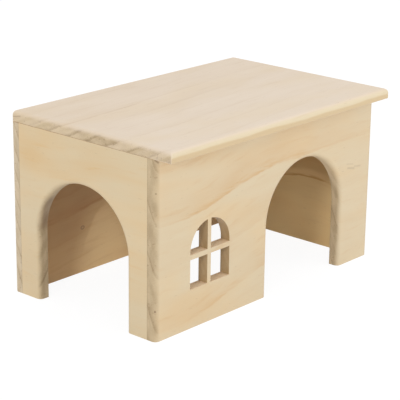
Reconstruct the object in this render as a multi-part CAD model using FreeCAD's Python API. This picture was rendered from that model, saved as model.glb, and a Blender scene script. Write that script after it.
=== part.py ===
import FreeCAD, Part
import os
from FreeCAD import Vector

# Wooden hamster house: five pine boards, butt-jointed on blind dowel pins and glued.
# X runs along the house from left to right, -Y is the front, +Z is up.
# The origin is the middle of the ground rectangle under the whole house.
# All sizes are millimetres.

# ---- boards -------------------------------------------------------------------------
house_length = 280.0          # over the front wall, end to end
body_depth = 163.5            # over the front and back walls
wall_height = 149.0
wall_thickness = 9.4
roof_thickness = 9.0
front_overhang = 15.5         # how far the roof stands out over the front wall

# ---- edges --------------------------------------------------------------------------
corner_radius = 4.2           # outer upright edges of the body
roof_top_radius = 3.8         # rounding of the roof's upper edges
roof_lower_radius = 0.9       # easing of the roof's lower edges
roof_nose_radius = 0.9        # the roof's two upright front corners
doorway_radius = 4.0          # rounding of the doorways' outer edges

# ---- doorways -----------------------------------------------------------------------
doorway_width = 100.5         # both doorways are cut to one template
doorway_height = 111.0        # top of the half-round arch
right_leg_width = 43.7        # front wall left standing beside the front doorway

# ---- window -------------------------------------------------------------------------
window_from_left = 39.7       # left end of the front wall to the window
window_width = 47.3
window_sill = 33.4            # height of the sill above the ground
window_top = 88.0             # top of the half-round arch
mullion_width = 4.2           # upright bar of the cross
mullion_shift = -1.1          # the upright bar stands this far from the window's middle
rail_height = 4.2             # level bar of the cross
rail_from_sill = 24.9         # sill to the underside of the level bar

# ---- dowel pins ---------------------------------------------------------------------
dowel_diameter = 5.0
dowel_clearance = 0.1         # bore diameter over dowel diameter
dowel_end_gap = 0.5           # glue space at each end of a dowel
dowel_chamfer = 0.5
bore_skin = 3.3               # wood left over a bore into the face of a board
edge_bore_depth = 14.0        # blind bore into the edge of a board
corner_pin_margin = 28.0      # corner pins from the ground and from the wall's top
corner_pin_count = 2
roof_pin_margin = 30.0        # roof pins from the ends of the wall they stand in
roof_pins_long = 3            # in the front wall and in the back wall
roof_pins_end = 2             # in each end wall

# ---- faces and lines that several pieces share --------------------------------------
left_face = -house_length / 2
right_face = house_length / 2
roof_front = -(body_depth + front_overhang) / 2
back_face = roof_front + front_overhang + body_depth
front_face = roof_front + front_overhang
front_inner = front_face + wall_thickness
back_inner = back_face - wall_thickness
left_inner = left_face + wall_thickness
right_inner = right_face - wall_thickness
roof_top = wall_height + roof_thickness
body_middle = (front_face + back_face) / 2
left_line = (left_face + left_inner) / 2        # middle of each wall's thickness
right_line = (right_face + right_inner) / 2
front_line = (front_face + front_inner) / 2
back_line = (back_face + back_inner) / 2
along_y = Vector(0, 1, 0)
along_z = Vector(0, 0, 1)
same_place = 0.01             # two places closer than this count as one


def board(x_from, x_to, y_from, y_to, z_from, z_to):
    """A plain rectangular board between six planes."""
    corner = Vector(x_from, y_from, z_from)
    return Part.makeBox(x_to - x_from, y_to - y_from, z_to - z_from, corner)


def edges_between(shape, low, high):
    """The edges that lie wholly inside the box from low to high."""
    room = FreeCAD.BoundBox(low, high)
    room.enlarge(same_place)
    return [edge for edge in shape.Edges if room.isInside(edge.BoundBox)]


def round_upright(shape, x, y, radius):
    """Round the upright edge of a wall that stands at (x, y)."""
    edges = edges_between(shape, Vector(x, y, 0), Vector(x, y, roof_top))
    return shape.makeFillet(radius, edges)


def arched_face(middle, width, bottom, top, place):
    """A face with a half-round top; place(across, up) gives its points in space."""
    radius = width / 2
    spring = top - radius
    left_foot = place(middle - radius, bottom)
    left_spring = place(middle - radius, spring)
    crown = place(middle, top)
    right_spring = place(middle + radius, spring)
    right_foot = place(middle + radius, bottom)
    outline = Part.Wire([
        Part.LineSegment(left_foot, left_spring).toShape(),
        Part.Arc(left_spring, crown, right_spring).toShape(),
        Part.LineSegment(right_spring, right_foot).toShape(),
        Part.LineSegment(right_foot, left_foot).toShape(),
    ])
    return Part.Face(outline)


def evenly(first, last, count):
    """Places from first to last at one pitch."""
    if count == 1:
        return [(first + last) / 2]
    pitch = (last - first) / (count - 1)
    return [first + pitch * index for index in range(count)]


# ---- dowel pins and the bores they sit in -------------------------------------------
class PinGroup:
    """Dowels across one joint: one end in a board's face, the other in a board's edge."""

    def __init__(self, joints, towards_edge, face_board_thickness):
        self.joints = joints
        self.towards_edge = towards_edge
        self.face_depth = face_board_thickness - bore_skin

    def rods(self, diameter, end_gap):
        """A cylinder across each joint, short of both bore ends by the gap."""
        length = self.face_depth + edge_bore_depth - 2 * end_gap
        back = self.towards_edge * (self.face_depth - end_gap)
        return [Part.makeCylinder(diameter / 2, length, joint - back, self.towards_edge)
                for joint in self.joints]

    def bores(self):
        return self.rods(dowel_diameter + dowel_clearance, 0)

    def dowels(self):
        rods = self.rods(dowel_diameter, dowel_end_gap)
        return Part.makeCompound([chamfer_ends(rod) for rod in rods])


def chamfer_ends(rod):
    rims = [edge for edge in rod.Edges if edge.Closed]
    return rod.makeChamfer(dowel_chamfer, rims)


def corner_joints(x, y):
    """Pin places on one upright corner joint, from low to high."""
    heights = evenly(corner_pin_margin, wall_height - corner_pin_margin, corner_pin_count)
    return [Vector(x, y, height) for height in heights]


def long_roof_joints(y):
    """Pin places where the roof lies on the front wall or on the back wall."""
    places = evenly(left_face + roof_pin_margin, right_face - roof_pin_margin, roof_pins_long)
    return [Vector(x, y, wall_height) for x in places]


def end_roof_joints(x):
    """Pin places where the roof lies on an end wall."""
    places = evenly(front_inner + roof_pin_margin, back_inner - roof_pin_margin, roof_pins_end)
    return [Vector(x, y, wall_height) for y in places]


pin_groups = {
    "front_left_dowels": PinGroup(corner_joints(left_line, front_inner), along_y, wall_thickness),
    "front_right_dowels": PinGroup(corner_joints(right_line, front_inner), along_y, wall_thickness),
    "back_left_dowels": PinGroup(corner_joints(left_line, back_inner), -along_y, wall_thickness),
    "back_right_dowels": PinGroup(corner_joints(right_line, back_inner), -along_y, wall_thickness),
    "front_roof_dowels": PinGroup(long_roof_joints(front_line), -along_z, roof_thickness),
    "back_roof_dowels": PinGroup(long_roof_joints(back_line), -along_z, roof_thickness),
    "left_roof_dowels": PinGroup(end_roof_joints(left_line), -along_z, roof_thickness),
    "right_roof_dowels": PinGroup(end_roof_joints(right_line), -along_z, roof_thickness),
}


def with_bores(shape, group_names):
    """A board with the bores of the named groups of pins."""
    bores = [bore for name in group_names for bore in pin_groups[name].bores()]
    return shape.cut(bores)


# ---- boards with their openings -----------------------------------------------------
def front_doorway():
    """The space of the front doorway, right through the front wall."""
    middle = right_face - right_leg_width - doorway_width / 2
    face = arched_face(middle, doorway_width, 0, doorway_height,
                       lambda across, up: Vector(across, front_face, up))
    return face.extrude(along_y * wall_thickness)


def left_doorway():
    """The space of the doorway in the left end wall."""
    face = arched_face(body_middle, doorway_width, 0, doorway_height,
                       lambda across, up: Vector(left_face, across, up))
    return face.extrude(Vector(wall_thickness, 0, 0))


def window_panes():
    """The four open panes: the arched window less the bars of its cross."""
    left = left_face + window_from_left
    right = left + window_width
    middle = (left + right) / 2
    face = arched_face(middle, window_width, window_sill, window_top,
                       lambda across, up: Vector(across, front_face, up))
    opening = face.extrude(along_y * wall_thickness)
    bar_middle = middle + mullion_shift
    mullion = board(bar_middle - mullion_width / 2, bar_middle + mullion_width / 2,
                    front_face, front_inner, window_sill, window_top)
    rail_bottom = window_sill + rail_from_sill
    rail = board(left, right, front_face, front_inner, rail_bottom, rail_bottom + rail_height)
    return opening.cut([mullion, rail])


def round_doorway(wall, opening, outer_low, outer_high):
    """Round the edges of a doorway where it meets the wall's outer face."""
    edges = [edge for edge in edges_between(wall, outer_low, outer_high)
             if edge.BoundBox.ZLength > same_place and edge_is_on(edge, opening)]
    return wall.makeFillet(min(doorway_radius, wall_thickness / 2), edges)


def edge_is_on(edge, solid):
    """Whether the middle of an edge lies on the skin of a solid."""
    middle = edge.valueAt((edge.FirstParameter + edge.LastParameter) / 2)
    gap = solid.distToShape(Part.Vertex(middle))[0]
    return gap < same_place


def front_wall():
    wall = board(left_face, right_face, front_face, front_inner, 0, wall_height)
    wall = round_upright(wall, left_face, front_face, corner_radius)
    wall = round_upright(wall, right_face, front_face, corner_radius)
    doorway = front_doorway()
    wall = wall.cut(doorway)
    wall = round_doorway(wall, doorway, Vector(left_face, front_face, 0),
                         Vector(right_face, front_face, wall_height))
    wall = wall.cut(window_panes())
    return with_bores(wall, ["front_left_dowels", "front_right_dowels", "front_roof_dowels"])


def back_wall():
    wall = board(left_face, right_face, back_inner, back_face, 0, wall_height)
    wall = round_upright(wall, left_face, back_face, corner_radius)
    wall = round_upright(wall, right_face, back_face, corner_radius)
    return with_bores(wall, ["back_left_dowels", "back_right_dowels", "back_roof_dowels"])


def left_end_wall():
    wall = board(left_face, left_inner, front_inner, back_inner, 0, wall_height)
    doorway = left_doorway()
    wall = wall.cut(doorway)
    wall = round_doorway(wall, doorway, Vector(left_face, front_inner, 0),
                         Vector(left_face, back_inner, wall_height))
    return with_bores(wall, ["front_left_dowels", "back_left_dowels", "left_roof_dowels"])


def right_end_wall():
    wall = board(right_inner, right_face, front_inner, back_inner, 0, wall_height)
    return with_bores(wall, ["front_right_dowels", "back_right_dowels", "right_roof_dowels"])


def roof_board():
    """The roof, flush with the walls at both ends and at the back."""
    roof = board(left_face, right_face, roof_front, back_face, wall_height, roof_top)
    for end in (left_face, right_face):
        roof = round_upright(roof, end, back_face, corner_radius)
        roof = round_upright(roof, end, roof_front, roof_nose_radius)
    upper = edges_between(roof, Vector(left_face, roof_front, roof_top),
                          Vector(right_face, back_face, roof_top))
    roof = roof.makeFillet(min(roof_top_radius, roof_thickness / 2), upper)
    lower = edges_between(roof, Vector(left_face, roof_front, wall_height),
                          Vector(right_face, back_face, wall_height))
    roof = roof.makeFillet(roof_lower_radius, lower)
    return with_bores(roof, ["front_roof_dowels", "back_roof_dowels",
                             "left_roof_dowels", "right_roof_dowels"])


def export(name, shape):
    shape.exportStep("parts/" + name + ".step")
    print(f"{name:20s} solids {len(shape.Solids)}  volume {shape.Volume:10.1f}  valid {shape.isValid()}")


os.makedirs("parts", exist_ok=True)
export("front_wall", front_wall())
export("back_wall", back_wall())
export("left_end_wall", left_end_wall())
export("right_end_wall", right_end_wall())
export("roof_board", roof_board())
for name, group in pin_groups.items():
    export(name, group.dowels())
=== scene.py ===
from dataclasses import dataclass
from math import cos, radians, sin

import bpy
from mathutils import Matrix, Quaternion, Vector


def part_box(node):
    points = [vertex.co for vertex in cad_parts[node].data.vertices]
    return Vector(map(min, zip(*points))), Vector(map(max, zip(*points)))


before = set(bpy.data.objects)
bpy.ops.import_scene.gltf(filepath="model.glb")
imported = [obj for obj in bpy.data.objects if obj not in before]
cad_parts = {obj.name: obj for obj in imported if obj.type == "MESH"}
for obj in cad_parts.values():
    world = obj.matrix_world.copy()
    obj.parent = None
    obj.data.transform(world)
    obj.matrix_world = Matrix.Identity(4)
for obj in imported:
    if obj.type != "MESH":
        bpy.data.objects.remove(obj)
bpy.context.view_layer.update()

# The looks of a wooden hamster house: five sanded pine boards on blind dowels.
# Everything is in metres, in the frame of the CAD model: X along the house, -Y front, +Z up.
# Only the wood is worked out in millimetres, because its features are that small.

X, Y, Z = 0, 1, 2
MILLIMETRES = 1000.0                  # in one metre

# ---- camera -------------------------------------------------------------------------
CAMERA_PLACE = Vector((-0.94937, -0.83325, 0.48090))
CAMERA_HEADING = radians(48.549)      # from +Y towards +X
CAMERA_DOWN = radians(18.101)
CAMERA_ROLL = radians(0.753)
CAMERA_LENS = 138.524                 # millimetres, on the sensor width below
SENSOR_WIDTH = 36.0
CAMERA_NEAR = 0.01                    # nothing closer than this is drawn

# ---- light --------------------------------------------------------------------------
WORLD_STRENGTH = 0.77                 # as light; seen directly it is 1
LAMP_TARGET = Vector((0.0, 0.0, 0.08))
LEFT_LAMP_PLACE = Vector((-3.48, -1.28, 1.52))
LEFT_LAMP_SIZE = 0.6
LEFT_LAMP_POWER = 26.0                # watts
FRONT_LAMP_PLACE = Vector((1.1, -1.9, 0.72))
FRONT_LAMP_SIZE = 1.6
FRONT_LAMP_POWER = 10.3
FLOOR_COLOUR = 0.92
FLOOR_GLOW = 0.93                     # what the camera sees of the floor, before its light
FLOOR_SHADE = 0.12                    # how much of the floor's light and shadow it sees
FLOOR_SIZE = 6.0

# ---- colours that aren't set for each board -----------------------------------------
# heartwood with painted shade, on the inner faces of the back and right walls
HEARTWOOD_AND_SHADE = "9C682B"
PORE = "8A6A45"
KNOT = "6E4A2C"                       # of the marks too
SAWN_SIDE = "AC8B5B"
# painted light on the window's sills, which face up
SILL_PAINTED_LIGHT = "FEE4C1"
BEECH = "CDA67A"

# ---- strengths of the wood's features -----------------------------------------------
# On the faces; those of latewood, lines and the heartwood with its painted shade are set for each
# board.
EVEN_TONE = 0.06
BANDS = 0.3
STREAKS = 0.2
CLOUDS = 0.2
FIBRES = 0.14
WARM_PATCHES = 0.5
PORES = 0.25
KNOT_RING = 0.6
KNOT_CORE = 1.1                       # how much its paler core takes off the ring
BOLD_FAR = 0.25                       # what is left of a ring far from bold_at...
BOLD_OFF_PATCH = 0.4                  # ...and between its bold patches
SOFT_SHADED_HEART = 0.65                     # the part of the heartwood and its painted shade that has a soft edge
# On the cut ends.
END_RINGS = 0.2
END_STROKES = 0.6
END_SMUDGES = 0.25
END_SPECKS = 0.5
END_BLOTS = 0.35
END_PITS = 0.45
END_SEAM = 0.7
END_CALM = 0.7                        # how much of the darkness calm_end takes away
# Where the cut ends run unevenly round the corners.
CORNER_SMUDGES = 0.16
CORNER_SPECKS = 0.12
# Round the window: how strongly its sides take the sawn colour, and how much more its sills take
# their painted light.
SAWN_SIDES = 0.65
MORE_PAINTED_LIGHT_ON_SILLS = 0.25
# In the pine's bump, roughness and gloss.
FIBRE_HEIGHT = 0.5
LATEWOOD_HEIGHT = 0.3
SPECK_HEIGHT = 0.8
BUMP_STRENGTH = 0.3
BUMP_DISTANCE = 0.0002
PINE_ROUGHNESS = 0.50
PINE_ROUGHNESS_RANGE = 0.14
PINE_SPECULAR = 0.6
# On the dowels.
BEECH_FLECKS = 0.6
BEECH_ROUGHNESS = 0.45
BEECH_ROUGHNESS_RANGE = 0.2

# ---- sizes of the wood's features, in millimetres -----------------------------------
INNER_DEPTH, OUTER_DEPTH = 2.0, 8.0   # the inner face's colours, with their painted light and shade, turn to the outer ones between these
TIP_FROM, TIP_TO = 100.0, 125.0       # a long board's tips begin this far from its middle
BOLD_CORE = 10.0                      # up to this far from bold_at nothing fades
SIDE_WANDER = 4.0                     # how far side_split wanders in all
STREAK_DEPTH = 40.0                   # how far streaks reach through a board
BLOT_SIZES = (30.0, 11.0, 5.0)        # along, across and through
SEAM_REACH, SEAM_CORE = 0.8, 0.1      # the dark seam at the joint fades between these
SAWN_FADE = 2.0                       # the sawn colours end over this width
KNOT_RADIUS = 3.4
KNOT_CORE_RADIUS = 2.2
KNOT_SWIRL_RADIUS = 6.0
KNOT_SWIRL = 5.0                      # how far the rings move aside at the knot
KNOT_SQUASH = 1.6                     # the knot's width over its height, squared
SHADED_HEART_WANDER = 30.0                   # how far the soft edge of the heartwood and its painted shade wanders in all...
SHADED_HEART_FADE = 50.0                     # ...and how far it fades to each side
SHARP_WANDER = 0.4                    # the part of the wander above that its sharp edge has
SHARP_FROM, SHARP_TO = 10.0, 50.0     # the sharp edge sets in between these places across
FLECK_LENGTH = 9.0
FLECK_WIDTH = 0.7
# Steps between the boards' noises, in units of noise.
SEED_STEP = 100.0
STREAK_SEED_STEP = 50.0


def colour(hex_code):
    """A linear colour with alpha 1 from an sRGB code."""
    channels = [int(hex_code[i:i + 2], 16) / 255 for i in (0, 2, 4)]
    linear = [c / 12.92 if c <= 0.04045 else ((c + 0.055) / 1.055) ** 2.4 for c in channels]
    return (*linear, 1.0)


# ---- formulas that become shader nodes ----------------------------------------------
class Formula:
    """A number, vector or colour in a material; arithmetic with it adds Math nodes."""

    def __init__(self, tree, socket):
        self.tree = tree
        self.socket = socket

    def node(self, kind, settings, inputs, output):
        """The output of a new node whose inputs are formulas or plain values."""
        node = self.tree.nodes.new(kind)
        for name, value in settings.items():
            setattr(node, name, value)
        for key, value in inputs.items():
            if isinstance(value, Formula):
                self.tree.links.new(value.socket, node.inputs[key])
            else:
                node.inputs[key].default_value = value
        return Formula(self.tree, node.outputs[output])

    def math(self, operation, *others):
        """This formula and the others through one Math node."""
        inputs = dict(enumerate((self, *others)))
        return self.node("ShaderNodeMath", {"operation": operation}, inputs, 0)

    def __add__(self, other):
        return self.math("ADD", other)

    def __sub__(self, other):
        return self.math("SUBTRACT", other)

    def __rsub__(self, other):
        return self * -1.0 + other

    def __mul__(self, other):
        return self.math("MULTIPLY", other)

    def __truediv__(self, other):
        return self.math("DIVIDE", other)

    def magnitude(self):
        """The value without its sign."""
        return self.math("ABSOLUTE")

    def root(self):
        """The square root of the value."""
        return self.math("SQRT")

    def raised(self, low):
        """The range from 0 to 1 squeezed into the range from low to 1."""
        return self * (1.0 - low) + low

    def smooth(self, low, high):
        """0 at low, 1 at high and a smooth run between; low may be above high."""
        inputs = {"Value": self, "From Min": low, "From Max": high}
        settings = {"interpolation_type": "SMOOTHSTEP"}
        return self.node("ShaderNodeMapRange", settings, inputs, "Result")

    def noise(self, detail=2.0, roughness=0.5):
        """Noise from 0 to 1 at a vector, with features about one unit long."""
        inputs = {"Vector": self, "Scale": 1.0, "Detail": detail, "Roughness": roughness}
        return self.node("ShaderNodeTexNoise", {}, inputs, "Fac")

    def mix(self, first, second):
        """The first colour where this is 0 and the second where it is 1."""
        node = self.tree.nodes.new("ShaderNodeMix")
        node.data_type = "RGBA"
        self.tree.links.new(self.socket, node.inputs["Factor"])
        for key, value in (("A", first), ("B", second)):
            socket = next(s for s in node.inputs if s.name == key and s.type == "RGBA")
            if isinstance(value, Formula):
                self.tree.links.new(value.socket, socket)
            else:
                socket.default_value = value
        return Formula(self.tree, next(s for s in node.outputs if s.type == "RGBA"))


def combined(x, y, z):
    """A vector from three formulas."""
    return x.node("ShaderNodeCombineXYZ", {}, {"X": x, "Y": y, "Z": z}, "Vector")


def surface(tree):
    """The surface's place in millimetres and its normal, each as three formulas."""
    source = tree.nodes.new("ShaderNodeTexCoord")
    found = []
    for name in ("Object", "Normal"):
        split = tree.nodes.new("ShaderNodeSeparateXYZ")
        tree.links.new(source.outputs[name], split.inputs[0])
        found.append([Formula(tree, output) for output in split.outputs])
    place, normal = found
    return [axis * MILLIMETRES for axis in place], normal


# ---- pine boards --------------------------------------------------------------------
@dataclass
class Mark:
    """A small crack, nick or stain, or a darker patch, from start to end in the house's frame."""

    start: tuple
    end: tuple
    reach: float                  # how far it shows to each side
    strength: float               # how dark it is, from 0 to 1


@dataclass
class Board:
    """How one board was sawn and how its wood looks; lengths are millimetres.

    Places along and across are in the house's frame, on the axes of the board's grain and
    width. The depth is counted from the plane called face, towards + on the third axis.
    """

    name: str
    along: int                    # the axis of the grain
    across: int                   # the axis of the width
    through: int                  # the axis of the thickness
    face: float                   # where the depth is 0
    seed: float                   # sets the board's noise apart from the others'

    # The boundaries between the growth rings.
    first: float                  # the first one's place across, at depth 0
    spacing: float                # from one to the next
    lean: float                   # how far they rise across for each millimetre of depth
    sweep: float                  # how far they rise across along the grain...
    sweep_from: float             # ...from this place...
    sweep_to: float               # ...to this one

    # How the rings show.
    late_width: float             # latewood fades out over this width past a boundary
    late_strength: float
    line: float                   # the strength of the darker line at each boundary
    bold_ring: int                # the ring that stands out most; the one at first is 0
    bold_at: float                # the place along where the rings stand out most...
    bold_reach: float             # ...and how far away that has faded
    faint: float = 0.3            # how much the other rings stand out
    edge: float = 2.0             # latewood begins over this width
    line_width: float = 4.0
    wander: float = 8.0           # how far the boundaries wander over long stretches...
    ripple: float = 1.4           # ...and over short ones
    bow: float = 0.0              # they fall from bow_at by this times the distance squared
    bow_at: float = 0.0

    # Colours.
    early: str = "E2CFAB"
    late: str = "D2A870"
    warm: str = "E4C697"          # early wood in its warmer patches
    end_early: str = "D3BD98"     # the cut ends' early wood...
    end_late: str = "A08763"      # ...and their rings, smudges and specks
    side_early: str = ""          # early wood on the long edges, where it differs...
    side_shaded: str = ""           # ...and, as painted shade, where the depth there is under side_split
    side_split: float = 0.0
    outside: str = ""             # early wood at the outer face, where it differs; early and warm then hold painted bounce light on the inner face
    streaky: float = 1.0          # the strength of bands and streaks
    shade_ramp: tuple = ()            # painted shade: paler at one place across, darker at another, and how much
    calm_end: tuple = ()          # the cut ends grow calmer from one place across to another
    wrap: float = 1.6             # the higher, the less rounded corners look like cut ends
    inner_wrap: float = 0.0       # the same away from the board's tips, where it differs

    # Single features.
    knot: tuple = ()              # the pin knot's place along and across
    shaded_heart: tuple = ()             # heartwood with painted shade lies above an arch: its top along and across, and how fast it curves down
                                  # and how fast it curves down
    shaded_heart_strength: float = 0.75
    shaded_heart_rise: float = 7.0       # how far the arch rises for each millimetre of depth
    joint: float | None = None    # the depth of the joint with the end walls, if it shows
    window: tuple = ()            # its middle along and across, and how far sawn faces reach
    marks: tuple = ()


class Grain:
    """The wood of one board at a point of its surface."""

    def __init__(self, board, tree):
        self.board = board
        self.places, normals = surface(tree)
        self.along = self.places[board.along]
        self.across = self.places[board.across]
        self.depth = self.places[board.through] - board.face
        self.end_facing = normals[board.along].magnitude()
        self.side_facing = normals[board.across].magnitude()
        self.face_facing = normals[board.through].magnitude()
        self.upward = normals[Z]

        self.growth = self.place_across_rings()
        turns = self.growth / board.spacing
        number = turns.math("FLOOR")
        self.past = (turns - number) * board.spacing
        self.bold = self.boldness(number)
        self.latewood = self.band(rise=board.edge, fade_from=0.0, fade_to=board.late_width)
        fibres = self.stretched(length=34.0, width=1.0).noise(detail=3.0, roughness=0.65)
        self.fibres = fibres - 0.5
        self.specks = self.stretched(length=2.0, width=0.8).noise() - 0.5
        smudges = self.streaked(length=200.0, width=16.0).noise(detail=1.0)
        self.smudges = smudges.smooth(0.36, 0.72)

    def stretched(self, length, width):
        """Noise coordinates for features of that length along the grain and that width."""
        shifted = self.along / length + self.board.seed * SEED_STEP
        return combined(shifted, self.across / width, self.depth / width)

    def streaked(self, length, width):
        """Noise coordinates for streaks that follow the rings on the faces and the ends."""
        shifted = self.along / length + self.board.seed * STREAK_SEED_STEP
        return combined(shifted, self.growth / width, self.depth / STREAK_DEPTH)

    def place_across_rings(self):
        """How far across the rings from the first boundary, the same all along one ring."""
        board = self.board
        place = self.across - board.first - self.depth * board.lean
        place = place - self.along.smooth(board.sweep_from, board.sweep_to) * board.sweep
        if board.bow:
            run = self.along - board.bow_at
            place = place + run * run * board.bow
        wander = self.stretched(length=110.0, width=34.0).noise() - 0.5
        ripple = self.stretched(length=24.0, width=5.0).noise() - 0.5
        fine_ripple = self.stretched(length=9.0, width=5.0).noise(detail=3.0) - 0.5
        place = place + wander * board.wander
        place = place + ripple * board.ripple
        place = place + fine_ripple * board.ripple
        if board.knot:
            place = place + self.near_knot(KNOT_SWIRL_RADIUS) * KNOT_SWIRL
        return place

    def band(self, rise, fade_from, fade_to):
        """A band past each boundary: up to 1 over rise, and down to 0 between the others."""
        return self.past.smooth(fade_to, fade_from) * self.past.smooth(0.0, rise)

    def boldness(self, number):
        """How much the ring of that number stands out here, from 0 to 1."""
        board = self.board
        ring = (number - board.bold_ring).magnitude().smooth(1.0, 0.0)
        near = (self.along - board.bold_at).magnitude().smooth(board.bold_reach, BOLD_CORE)
        patches = self.stretched(length=60.0, width=26.0).noise(detail=1.0).smooth(0.3, 0.65)
        return ring.raised(board.faint) * near.raised(BOLD_FAR) * patches.raised(BOLD_OFF_PATCH)

    def near_knot(self, reach):
        """1 in the middle of the pin knot and 0 beyond that reach."""
        knot_along, knot_across = self.board.knot
        run = self.along - knot_along
        rise = self.across - knot_across
        return (run * run + rise * rise * KNOT_SQUASH).root().smooth(reach, 0.0)

    def outer(self):
        """0 at the inner face of the back or right wall, and 1 at its outer face."""
        return self.depth.smooth(INNER_DEPTH, OUTER_DEPTH)

    def in_shaded_heart(self):
        """1 well inside the heartwood with its painted shade and 0 in the sapwood, over a soft
        and a sharp edge.
        """
        top_along, top_across, curve = self.board.shaded_heart
        run = self.along - top_along
        above = self.across - top_across + run * run * curve
        above = above - self.depth * self.board.shaded_heart_rise
        uneven = self.stretched(length=40.0, width=14.0).noise(detail=3.0) - 0.5
        uneven = uneven * SHADED_HEART_WANDER
        soft = (above + uneven).smooth(-SHADED_HEART_FADE, SHADED_HEART_FADE)
        sharp = (above + uneven * SHARP_WANDER).smooth(-3.0, 4.0)
        sharp = sharp * self.across.smooth(SHARP_FROM, SHARP_TO)
        return soft * SOFT_SHADED_HEART + sharp * (1.0 - SOFT_SHADED_HEART)

    def sawn_window(self):
        """1 on the sawn faces of the window and 0 on the rest of the board."""
        middle_along, middle_across, reach = self.board.window
        run = self.along - middle_along
        rise = self.across - middle_across
        near = (run * run + rise * rise).root().smooth(reach + SAWN_FADE, reach)
        return near * self.face_facing.smooth(0.6, 0.3)

    def cut_end(self):
        """1 on the cut ends and 0 on the faces, with an uneven run round the corners."""
        board = self.board
        uneven = (self.smudges - 0.5) * CORNER_SMUDGES + self.specks * CORNER_SPECKS + 1.0
        wrap = board.wrap
        if board.inner_wrap:
            tip = self.along.magnitude().smooth(TIP_FROM, TIP_TO)
            wrap = tip * (board.wrap - board.inner_wrap) + board.inner_wrap
        return (self.end_facing * uneven).math("POWER", wrap)

    def marked(self, mark):
        """How dark a mark is here, from 0 to 1, by the distance to its nearest point."""
        step = Vector(mark.end) - Vector(mark.start)
        offset = [place - value for place, value in zip(self.places, mark.start)]
        shares = [part * (size / step.length_squared) for part, size in zip(offset, step)]
        run = (shares[X] + shares[Y] + shares[Z]).math("MAXIMUM", 0.0).math("MINIMUM", 1.0)
        away = [part - run * size for part, size in zip(offset, step)]
        distance = (away[X] * away[X] + away[Y] * away[Y] + away[Z] * away[Z]).root()
        return distance.smooth(mark.reach, 0.0) * mark.strength


def early_colour(grain):
    """The colour of early wood, with the long edges' and the outer face's own; the faces' early
    wood holds painted sheen on the roof and painted bounce light on the inner faces, and the
    roof's long edges take painted shade low down.
    """
    board = grain.board
    warmth = grain.stretched(length=90.0, width=40.0).noise(detail=3.0).smooth(0.4, 0.7)
    early = (warmth * WARM_PATCHES).mix(colour(board.early), colour(board.warm))
    if board.side_early:
        split = grain.stretched(length=45.0, width=20.0).noise() * SIDE_WANDER
        split = split - SIDE_WANDER / 2 + board.side_split
        # Painted shade on the lower part of the long edges.
        lower_shade = (split - grain.depth).smooth(-1.0, 1.0)
        side = lower_shade.mix(colour(board.side_early), colour(board.side_shaded))
        early = grain.side_facing.smooth(0.5, 1.0).mix(early, side)
    if board.outside:
        early = grain.outer().mix(early, colour(board.outside))
    return early


def face_colour(grain):
    """The colour of the sanded faces and long edges."""
    board = grain.board
    line = grain.band(rise=1.2, fade_from=1.0, fade_to=board.line_width)
    broken = grain.stretched(length=30.0, width=3.0).noise().smooth(0.35, 0.58)
    bands = grain.streaked(length=90.0, width=9.0).noise() - 0.5
    streaks = grain.streaked(length=34.0, width=4.5).noise(detail=1.0).smooth(0.55, 0.8)
    clouds = grain.stretched(length=70.0, width=24.0).noise(detail=1.0) - 0.5
    dark = grain.latewood * grain.bold * board.late_strength
    dark = dark + line * broken * grain.bold * board.line
    dark = dark + (bands * BANDS + streaks * STREAKS) * board.streaky
    dark = dark + clouds * CLOUDS + grain.fibres * FIBRES + EVEN_TONE
    # Painted light and shade: paler at the one place across, darker at the other.
    if board.shade_ramp:
        pale_place, dark_place, amount = board.shade_ramp
        dark = dark + (grain.across.smooth(pale_place, dark_place) - 0.5) * amount
    face = dark.mix(early_colour(grain), colour(board.late))
    pores = grain.stretched(length=6.0, width=0.6).noise(detail=0.0).smooth(0.79, 0.84)
    face = (pores * PORES).mix(face, colour(PORE))
    # Heartwood with painted shade: the inside of the house darker above an arch, fading out
    # towards the outer face.
    if board.shaded_heart:
        heartwood_and_shade = grain.in_shaded_heart() * (1.0 - grain.outer()) * board.shaded_heart_strength
        face = heartwood_and_shade.mix(face, colour(HEARTWOOD_AND_SHADE))
    if board.knot:
        core = grain.near_knot(KNOT_CORE_RADIUS) * KNOT_CORE
        ring = grain.near_knot(KNOT_RADIUS).smooth(0.05, 0.4) - core
        face = (ring * KNOT_RING).mix(face, colour(KNOT))
    return face


def end_colour(grain):
    """The colour of the cut ends: darker, smudged along the rings, and pitted."""
    board = grain.board
    rings = grain.band(rise=4.0, fade_from=4.0, fade_to=board.late_width)
    strokes = grain.band(rise=1.5, fade_from=2.0, fade_to=6.0) * (grain.specks + 0.6)
    length, width, depth = BLOT_SIZES
    blots = combined(grain.along / length + board.seed, grain.across / width, grain.depth / depth)
    blots = blots.noise(detail=3.0).smooth(0.3, 0.7)
    dark = rings * END_RINGS + strokes * END_STROKES
    dark = dark + grain.smudges * END_SMUDGES + grain.specks * END_SPECKS
    dark = dark + blots * END_BLOTS
    if board.calm_end:
        calm_from, calm_to = board.calm_end
        dark = dark * (1.0 - grain.across.smooth(calm_from, calm_to) * END_CALM)
    end = dark.mix(colour(board.end_early), colour(board.end_late))
    pits = grain.stretched(length=3.0, width=2.0).noise(detail=0.0).smooth(0.74, 0.8)
    end = (pits * END_PITS).mix(end, colour(PORE))
    if board.joint is not None:
        seam = (grain.depth - board.joint).magnitude().smooth(SEAM_REACH, SEAM_CORE)
        end = (seam * (grain.specks + 0.5) * END_SEAM).mix(end, colour(PORE))
    return end


def with_sawn_window_and_lit_sills(grain, wood):
    """The wood with the sawn colour on the window's sides and painted light on its sills, which
    face up.
    """
    lit_sill = grain.upward.smooth(0.5, 1.0)
    sawn_and_lit = lit_sill.mix(colour(SAWN_SIDE), colour(SILL_PAINTED_LIGHT))
    return (grain.sawn_window() * (lit_sill * MORE_PAINTED_LIGHT_ON_SILLS + SAWN_SIDES)).mix(wood, sawn_and_lit)


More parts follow.
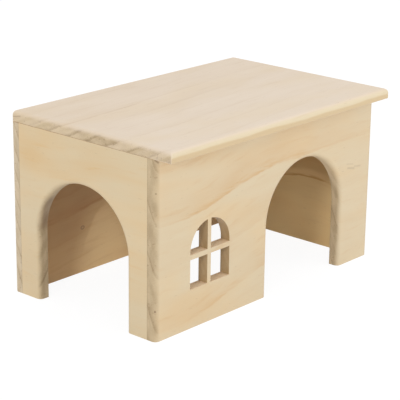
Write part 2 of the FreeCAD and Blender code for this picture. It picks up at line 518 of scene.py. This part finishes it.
def with_marks(grain, wood):
    """The wood with its marks; where two lie together, the darker one shows."""
    first, *others = [grain.marked(mark) for mark in grain.board.marks]
    darkest = first
    for other in others:
        darkest = darkest.math("MAXIMUM", other)
    return darkest.mix(wood, colour(KNOT))


def new_material(name):
    """A new material, with its node tree and its shader."""
    material = bpy.data.materials.new(name)
    material.use_nodes = True
    tree = material.node_tree
    return material, tree, tree.nodes["Principled BSDF"]


def pine(board):
    """Sanded pine whose growth rings run through the board, so its faces and ends agree."""
    material, tree, shader = new_material("pine_" + board.name)
    grain = Grain(board, tree)
    cut_end = grain.cut_end()
    wood = cut_end.mix(face_colour(grain), end_colour(grain))
    if board.window:
        wood = with_sawn_window_and_lit_sills(grain, wood)
    if board.marks:
        wood = with_marks(grain, wood)

    height = grain.fibres * FIBRE_HEIGHT + grain.latewood * LATEWOOD_HEIGHT
    height = height + grain.specks * cut_end * SPECK_HEIGHT
    bump_inputs = {"Height": height, "Strength": BUMP_STRENGTH, "Distance": BUMP_DISTANCE}
    bump = height.node("ShaderNodeBump", {}, bump_inputs, "Normal")
    roughness = grain.fibres * PINE_ROUGHNESS_RANGE + PINE_ROUGHNESS
    tree.links.new(wood.socket, shader.inputs["Base Color"])
    tree.links.new(roughness.socket, shader.inputs["Roughness"])
    tree.links.new(bump.socket, shader.inputs["Normal"])
    shader.inputs["Specular IOR Level"].default_value = PINE_SPECULAR
    return material


def face_of(node, axis, side):
    """The plane of a board's face, in millimetres: side 0 is the lower one, 1 the upper one."""
    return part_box(node)[side][axis] * MILLIMETRES


BOARDS = [
    Board("front_wall", along=X, across=Z, through=Y, face=face_of("front_wall", Y, 0),
          seed=3,
          first=6.5, spacing=43, lean=2.35, sweep=23, sweep_from=-115, sweep_to=15,
          ripple=3.0,
          late_width=34, late_strength=0.52, line=0.62, line_width=8,
          bold_ring=2, bold_at=-30, bold_reach=130, faint=0.4,
          early="DECCAB", end_early="CFB994", wrap=0.85, inner_wrap=4.0,
          joint=9.4, window=(-76.7, 57.5, 40.0),
          marks=(
              # Cracks on the right leg.
              Mark((104.2, -74.0, 93.3), (113.2, -74.0, 91.6), reach=1.2, strength=0.12),
              Mark((105.7, -74.0, 89.3), (115.0, -74.0, 87.4), reach=1.6, strength=0.20),
              Mark((115.6, -74.0, 89.0), (123.9, -74.0, 87.8), reach=1.4, strength=0.15),
              # A nick and two specks on the left corner.
              Mark((-139.6, -72.2, 148.8), (-137.4, -73.6, 146.7), reach=1.2, strength=0.55),
              Mark((-139.1, -72.4, 25.9), (-139.1, -72.4, 25.3), reach=1.1, strength=0.85),
              Mark((-138.8, -72.9, 122.1), (-138.8, -72.4, 122.1), reach=1.0, strength=0.60),
          )),
    Board("back_wall", along=X, across=Z, through=Y, face=face_of("back_wall", Y, 0),
          seed=5,
          first=8, spacing=21, lean=2.2, sweep=14, sweep_from=-120, sweep_to=0,
          ripple=3.0,
          late_width=16, late_strength=0.50, line=0.50,
          bold_ring=2, bold_at=-70, bold_reach=120,
          # early and warm are paler and warmer than the outside colour: painted light bounced
          # round inside, on the inner face.
          early="F2D29C", late="C99558", warm="F2C98C", end_early="DCCBAF",
          end_late="B39C78", outside="E4D1AC",
          # Heartwood with painted shade on the inner face, darker above an arch.
          knot=(-69.0, 41.0), shaded_heart=(-40.0, 56.0, 0.045), shaded_heart_strength=0.68, joint=0.0),
    Board("left_end_wall", along=Y, across=Z, through=X, face=face_of("left_end_wall", X, 0),
          seed=7,
          first=8, spacing=96, lean=1.6, sweep=12, sweep_from=70, sweep_to=-60,
          wander=14,
          late_width=70, late_strength=0.60, line=0.0, edge=14,
          bold_ring=1, bold_at=50, bold_reach=110,
          early="DDCBA9", late="DAB070", end_early="CBB591", end_late="98805C",
          marks=(
              # Darker on the jamb, near the top of the arch.
              Mark((-134.0, 57.5, 66.0), (-134.0, 49.5, 87.0), reach=9.0, strength=0.50),
          )),
    Board("right_end_wall", along=Y, across=Z, through=X, face=face_of("right_end_wall", X, 0),
          seed=11,
          first=61.6, spacing=90, lean=1.9, sweep=0, sweep_from=80, sweep_to=-60,
          wander=3, bow=0.0045, bow_at=-16,
          late_width=200, late_strength=0.20, line=1.1, line_width=4.4, edge=5,
          bold_ring=0, bold_at=0, bold_reach=300,
          # early and warm are paler and warmer than the outside colour: painted light bounced
          # round inside, on the inner face.
          early="FFE3AA", late="D8AC70", warm="FFD99A", outside="E6D2AC", streaky=0.6,
          # Heartwood with painted shade on the inner face, darker towards the top.
          shaded_heart=(-16.0, 68.0, 0.0045), shaded_heart_strength=0.58),
    Board("roof_board", along=X, across=Y, through=Z, face=face_of("roof_board", Z, 1),
          seed=13,
          first=2.4, spacing=22, lean=-2.1, sweep=20, sweep_from=-140, sweep_to=140,
          ripple=2.4,
          late_width=10, late_strength=0.22, line=0.35,
          bold_ring=1, bold_at=-60, bold_reach=180, faint=0.35,
          # early and warm are paler and pinker than the wood: painted sheen on the top;
          # side_early is the wood's own colour on the long edges.
          early="EFDDC7", late="D0B189", warm="ECD6B5", end_early="D6C09C",
          # The darker colour on the long edges' lower part is painted shade.
          side_early="E5D4B2", side_shaded="D9C096", side_split=-4.8,
          # The ramp from front to back is painted shade, darker towards the back.
          streaky=0.6, shade_ramp=(-90, 80, 0.15), calm_end=(40, 72), wrap=4.0,
          marks=(
              # A crack in the left end, at the back.
              Mark((-140.0, 86.3, 153.3), (-140.0, 78.0, 155.1), reach=0.8, strength=0.40),
          )),
]


def beech(along):
    """Turned beech dowel rod with fine flecks along its length."""
    material, tree, shader = new_material(f"beech_{'xyz'[along]}")
    places, _ = surface(tree)
    sizes = [FLECK_LENGTH if axis == along else FLECK_WIDTH for axis in (X, Y, Z)]
    flecks = combined(*[place / size for place, size in zip(places, sizes)]).noise()
    wood = (flecks.smooth(0.55, 0.75) * BEECH_FLECKS).mix(colour(BEECH), colour(PORE))
    roughness = flecks * BEECH_ROUGHNESS_RANGE + BEECH_ROUGHNESS
    tree.links.new(wood.socket, shader.inputs["Base Color"])
    tree.links.new(roughness.socket, shader.inputs["Roughness"])
    return material


def dress(node, material):
    """Give a CAD node that material and no other."""
    node.data.materials.clear()
    node.data.materials.append(material)


def dress_house():
    """Give every board its own pine and all the dowels their beech."""
    for board in BOARDS:
        dress(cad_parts[board.name], pine(board))
    upright = beech(Z)
    level = beech(Y)
    for name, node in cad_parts.items():
        if name.endswith("_dowels"):
            dress(node, upright if "_roof_" in name else level)


# ---- camera, light and floor --------------------------------------------------------
def add_camera():
    """The photograph's camera."""
    data = bpy.data.cameras.new("camera")
    data.lens = CAMERA_LENS
    data.sensor_width = SENSOR_WIDTH
    data.clip_start = CAMERA_NEAR
    camera = bpy.data.objects.new("camera", data)
    bpy.context.scene.collection.objects.link(camera)
    gaze = Vector((sin(CAMERA_HEADING) * cos(CAMERA_DOWN),
                   cos(CAMERA_HEADING) * cos(CAMERA_DOWN),
                   -sin(CAMERA_DOWN)))
    camera.location = CAMERA_PLACE
    camera.rotation_mode = "QUATERNION"
    camera.rotation_quaternion = (gaze.to_track_quat("-Z", "Y")
                                  @ Quaternion((0, 0, 1), CAMERA_ROLL))
    bpy.context.scene.camera = camera


def seen_directly(tree):
    """1 for rays from the camera, and for what it sees in gloss or through glass."""
    path = tree.nodes.new("ShaderNodeLightPath")
    names = ("Is Camera Ray", "Is Glossy Ray", "Is Transmission Ray")
    camera, gloss, glass = [Formula(tree, path.outputs[name]) for name in names]
    return camera.math("MAXIMUM", gloss.math("MAXIMUM", glass))


def light_world():
    """A soft white dome; the camera sees it as plain white."""
    world = bpy.data.worlds.new("studio")
    bpy.context.scene.world = world
    world.use_nodes = True
    tree = world.node_tree
    strength = seen_directly(tree).raised(WORLD_STRENGTH)
    background = tree.nodes["Background"]
    background.inputs["Color"].default_value = (1, 1, 1, 1)
    tree.links.new(strength.socket, background.inputs["Strength"])


def add_lamp(name, place, size, power):
    """A round lamp that shines on the house."""
    data = bpy.data.lights.new(name, "AREA")
    data.shape = "DISK"
    data.size = size
    data.energy = power
    lamp = bpy.data.objects.new(name, data)
    lamp.location = place
    lamp.rotation_euler = (LAMP_TARGET - place).to_track_quat("-Z", "Y").to_euler()
    bpy.context.scene.collection.objects.link(lamp)


def floor_material():
    """A pale floor: white to the camera except for the soft shadow on it."""
    material, tree, shader = new_material("floor")
    tree.nodes.remove(shader)
    plain = tree.nodes.new("ShaderNodeBsdfDiffuse")
    plain.inputs["Color"].default_value = (FLOOR_COLOUR, FLOOR_COLOUR, FLOOR_COLOUR, 1)
    shade = tree.nodes.new("ShaderNodeBsdfDiffuse")
    shade.inputs["Color"].default_value = (FLOOR_SHADE, FLOOR_SHADE, FLOOR_SHADE, 1)
    glow = tree.nodes.new("ShaderNodeEmission")
    glow.inputs["Strength"].default_value = FLOOR_GLOW
    seen_floor = tree.nodes.new("ShaderNodeAddShader")
    tree.links.new(shade.outputs[0], seen_floor.inputs[0])
    tree.links.new(glow.outputs[0], seen_floor.inputs[1])
    choice = tree.nodes.new("ShaderNodeMixShader")
    tree.links.new(seen_directly(tree).socket, choice.inputs[0])
    tree.links.new(plain.outputs[0], choice.inputs[1])
    tree.links.new(seen_floor.outputs[0], choice.inputs[2])
    tree.links.new(choice.outputs[0], tree.nodes["Material Output"].inputs["Surface"])
    return material


def add_floor():
    """The floor that the house stands on, which isn't part of it."""
    half = FLOOR_SIZE / 2
    mesh = bpy.data.meshes.new("floor")
    corners = [(-half, -half, 0), (half, -half, 0), (half, half, 0), (-half, half, 0)]
    mesh.from_pydata(corners, [], [(0, 1, 2, 3)])
    mesh.materials.append(floor_material())
    floor = bpy.data.objects.new("floor", mesh)
    bpy.context.scene.collection.objects.link(floor)


bpy.context.scene.view_settings.view_transform = "Standard"
dress_house()
add_camera()
light_world()
add_lamp("left_lamp", LEFT_LAMP_PLACE, LEFT_LAMP_SIZE, LEFT_LAMP_POWER)
add_lamp("front_lamp", FRONT_LAMP_PLACE, FRONT_LAMP_SIZE, FRONT_LAMP_POWER)
add_floor()
